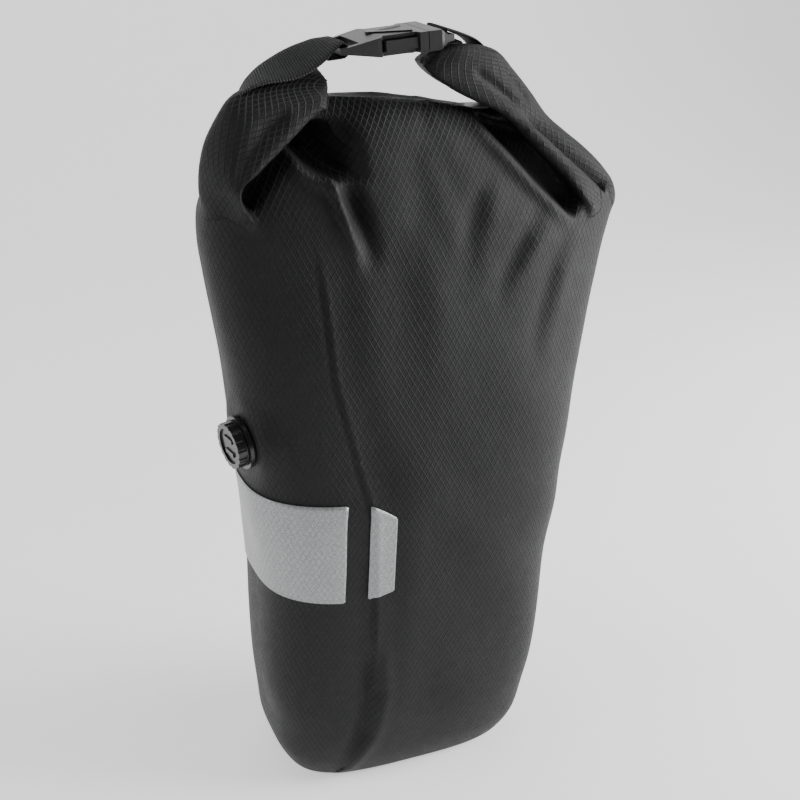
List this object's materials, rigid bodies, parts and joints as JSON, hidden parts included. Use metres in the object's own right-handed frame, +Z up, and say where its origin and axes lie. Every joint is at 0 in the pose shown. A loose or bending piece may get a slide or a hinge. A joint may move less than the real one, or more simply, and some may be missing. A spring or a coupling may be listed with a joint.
{
  "type": "pannier bag",
  "caption": "Small black roll-top bicycle pannier with a buckled handle arch, reflective patches, an air valve and rack hooks",
  "frame": {"origin": "On the axis of the rack tube that the bag hangs on, midway between its two hooks", "axes": "+X runs along the rack tube, to the right in a front view; +Y points from the bag towards the rack; +Z is up"},
  "size_m": [0.2448, 0.1442, 0.4397],
  "materials": {
    "coated_fabric": "coated ripstop, matt",
    "webbing": "ribbed woven webbing",
    "black_plastic": "fine-textured moulding",
    "gloss_black_plastic": "satin gloss moulding",
    "grey_plastic": "moulded",
    "reflective_film": "glass-bead reflective film",
    "rubber": "matt",
    "anodised_alloy": "dark anodised",
    "steel": "zinc plated"
  },
  "bodies": {
    "bag": {"bag_body": "coated_fabric", "base_panel": "coated_fabric", "rolled_mouth": "coated_fabric", "mouth_stiffener": "black_plastic", "ear_left": "coated_fabric", "ear_right": "coated_fabric", "strap_left": "webbing", "strap_right": "webbing", "buckle_socket": "black_plastic", "buckle_plug": "black_plastic", "reflector_side": "reflective_film", "reflector_front": "reflective_film", "valve_flange": "gloss_black_plastic", "valve_gasket": "rubber", "valve_nut": "black_plastic", "back_plate": "black_plastic", "stiffener_board": "black_plastic", "upper_rail": "anodised_alloy", "lower_rail": "anodised_alloy", "hook_left": "black_plastic", "hook_right": "black_plastic", "liner_left": "rubber", "liner_right": "rubber", "bolt_spring_left": "steel", "bolt_spring_right": "steel", "guide_rivets": "steel", "rail_screws": "steel", "rail_nuts": "steel", "hook_grub_screws": "steel"},
    "plunger": {"valve_plunger": "black_plastic", "valve_oring": "rubber"},
    "cap": {"valve_cap": "gloss_black_plastic"},
    "prong_front_body": {"prong_front": "black_plastic"},
    "prong_back_body": {"prong_back": "black_plastic"},
    "release": {"link_left": "steel", "link_right": "steel", "pull_strap": "webbing"},
    "latch_left": {"bolt_left": "grey_plastic"},
    "latch_right": {"bolt_right": "grey_plastic"},
    "carriage": {"anchor_carriage": "black_plastic", "anchor_screw": "steel", "anchor_washer": "steel"},
    "anchor": {"anchor_hook": "black_plastic"}
  },
  "joints": [
    {"name": "valve_lift", "type": "slide", "parent": "bag", "child": "plunger", "axis": [-0.9765, -0.1709, -0.1313], "range_m": [0, 0.0015]},
    {"name": "valve_turn", "type": "hinge", "parent": "plunger", "child": "cap", "pos_m": [-0.10056, -0.091, -0.062], "axis": [-0.9765, -0.1709, -0.1313], "range_deg": [0, 90]},
    {"name": "prong_back_squeeze", "type": "hinge", "parent": "bag", "child": "prong_back_body", "pos_m": [0.00139, -0.0614, 0.14425], "axis": [-0.1045, 0, 0.9945], "range_deg": [0, 8], "stiffness_Nm_per_rad": 1.4},
    {"name": "prong_front_squeeze", "type": "hinge", "parent": "bag", "child": "prong_front_body", "pos_m": [0.00139, -0.0806, 0.14425], "axis": [-0.1045, 0, 0.9945], "range_deg": [-8, 0], "stiffness_Nm_per_rad": 1.4},
    {"name": "release_lift", "type": "slide", "parent": "bag", "child": "release", "axis": [0, 0, 1], "range_m": [0, 0.012]},
    {"name": "bolt_left_slide", "type": "slide", "parent": "bag", "child": "latch_left", "axis": [0, -1, 0], "range_m": [0, 0.007], "stiffness_N_per_m": 300, "springref_m": -0.005, "deforming": ["bolt_spring_left"]},
    {"name": "bolt_right_slide", "type": "slide", "parent": "bag", "child": "latch_right", "axis": [0, -1, 0], "range_m": [0, 0.007], "stiffness_N_per_m": 300, "springref_m": -0.005, "deforming": ["bolt_spring_right"]},
    {"name": "anchor_slide", "type": "slide", "parent": "bag", "child": "carriage", "axis": [1, 0, 0], "range_m": [-0.035, 0.035]},
    {"name": "anchor_swivel", "type": "hinge", "parent": "carriage", "child": "anchor", "pos_m": [0, -0.0131, -0.182], "axis": [0, 1, 0], "continuous": true}
  ],
  "couplings": [
    {"joint": "valve_lift", "follows": "valve_turn", "m_per_rad": 0.00095493},
    {"joint": "bolt_left_slide", "follows": "release_lift", "ratio": 0.58333},
    {"joint": "bolt_right_slide", "follows": "release_lift", "ratio": 0.58333}
  ]
}
